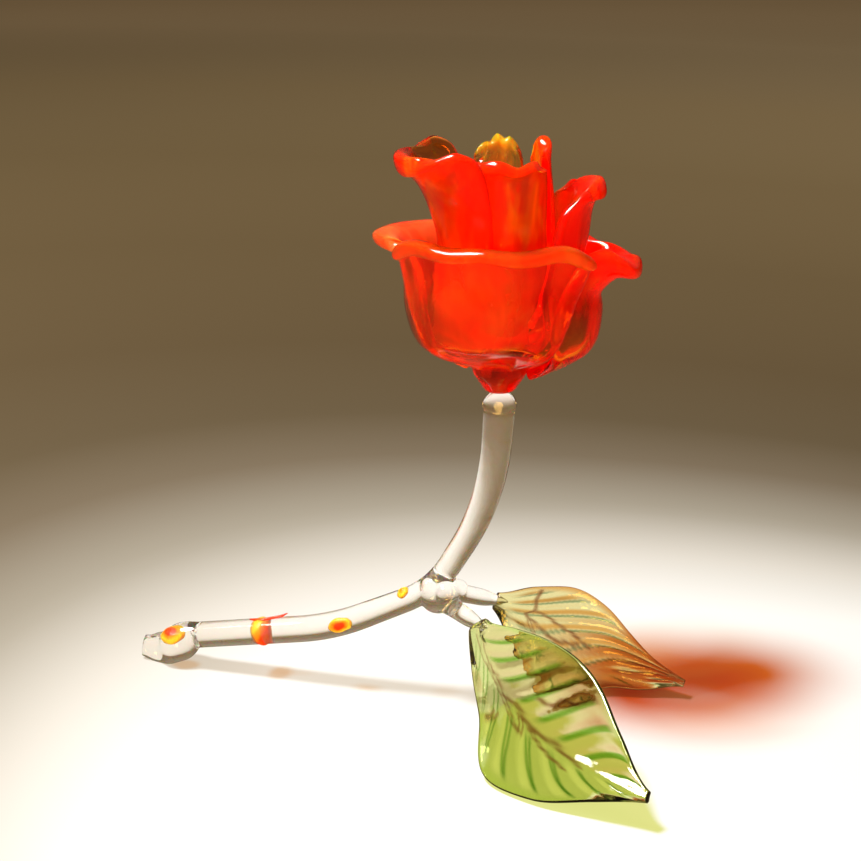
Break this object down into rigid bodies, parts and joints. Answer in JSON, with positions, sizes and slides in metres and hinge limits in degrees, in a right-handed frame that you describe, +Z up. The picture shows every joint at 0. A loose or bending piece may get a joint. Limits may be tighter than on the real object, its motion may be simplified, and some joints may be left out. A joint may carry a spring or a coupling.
{
  "type": "glass rose",
  "caption": "Flameworked glass rose: red flower of overlapping rolled petals on a bent clear rod stem, with pressed green leaves that it stands on.",
  "frame": {"origin": "middle of the foot's flat resting face, on the table", "axes": "+Z up from the table; +X along the stem from the foot towards the flower and the leaf tips; the stem's bend lies in the XZ plane and the front leaf is on the -Y side"},
  "size_m": [0.1003, 0.0495, 0.0986],
  "materials": {
    "clear_glass": "clear fire-polished glass with a faint warm tint",
    "red_glass": "transparent red to orange glass, fire-polished, amber where it is thin",
    "green_glass": "transparent yellow-green glass with pressed veins",
    "frit": "orange, yellow and red glass chips melted into the rod"
  },
  "bodies": {
    "root": {"stem_rod": "clear_glass", "foot": "clear_glass", "collar": "clear_glass", "knot": "clear_glass", "leaf_stalk_front": "clear_glass", "leaf_stalk_rear": "clear_glass", "bud_core": "red_glass", "outer_petal_front": "red_glass", "outer_petal_right": "red_glass", "outer_petal_left": "red_glass", "middle_petal_left": "red_glass", "middle_petal_right": "red_glass", "middle_petal_back": "red_glass", "inner_petal_front": "red_glass", "inner_petal_back": "red_glass", "inner_petal_right": "red_glass", "leaf_front": "green_glass", "leaf_rear": "green_glass", "colour_band": "frit", "colour_spot_foot": "frit", "colour_spot_middle": "frit", "colour_spot_knee": "frit"}
  },
  "joints": []
}
